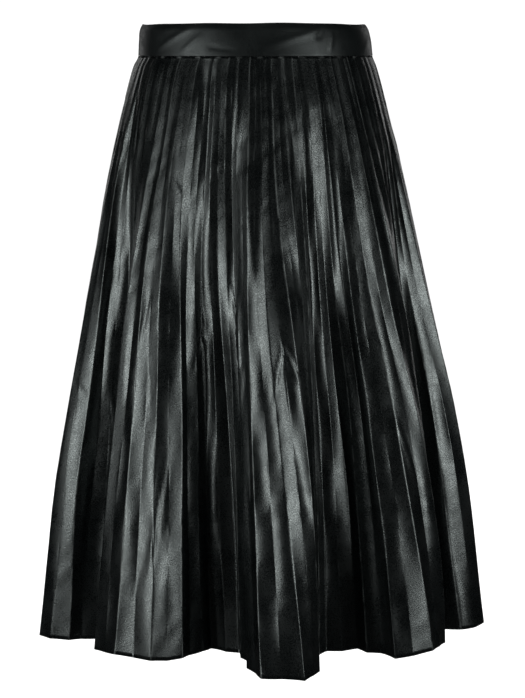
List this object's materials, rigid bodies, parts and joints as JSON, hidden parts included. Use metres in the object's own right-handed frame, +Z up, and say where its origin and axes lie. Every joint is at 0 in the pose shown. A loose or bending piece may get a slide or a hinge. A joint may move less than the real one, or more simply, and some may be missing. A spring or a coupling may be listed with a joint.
{
  "type": "leather skirt",
  "caption": "Sunray-pleated A-line midi skirt in black leather on a plain waistband, open and hollow as worn, with a concealed back zip whose pull tab swings.",
  "frame": {"origin": "middle of the waistband's ring, where the wearer's waist holds the skirt up", "axes": "+Z up along the length, -Y out of the front, +X to the right as seen from the front"},
  "size_m": [0.5328, 0.4836, 0.716],
  "materials": {
    "leather": "semi-gloss, fine grain",
    "zip_tape": "woven polyester",
    "zip_metal": "black lacquer"
  },
  "bodies": {
    "skirt": {"waistband": "leather", "skirt_front": "leather", "skirt_back_left": "leather", "skirt_back_right": "leather", "zip_tape_left": "zip_tape", "zip_tape_right": "zip_tape", "zip_slider": "zip_metal"},
    "zip_pull": {"zip_pull": "zip_metal"}
  },
  "joints": [
    {"name": "zip_pull_swing", "type": "hinge", "parent": "skirt", "child": "zip_pull", "pos_m": [0, 0.1029, 0.0085], "axis": [1, 0, 0], "range_deg": [0, 170]}
  ]
}
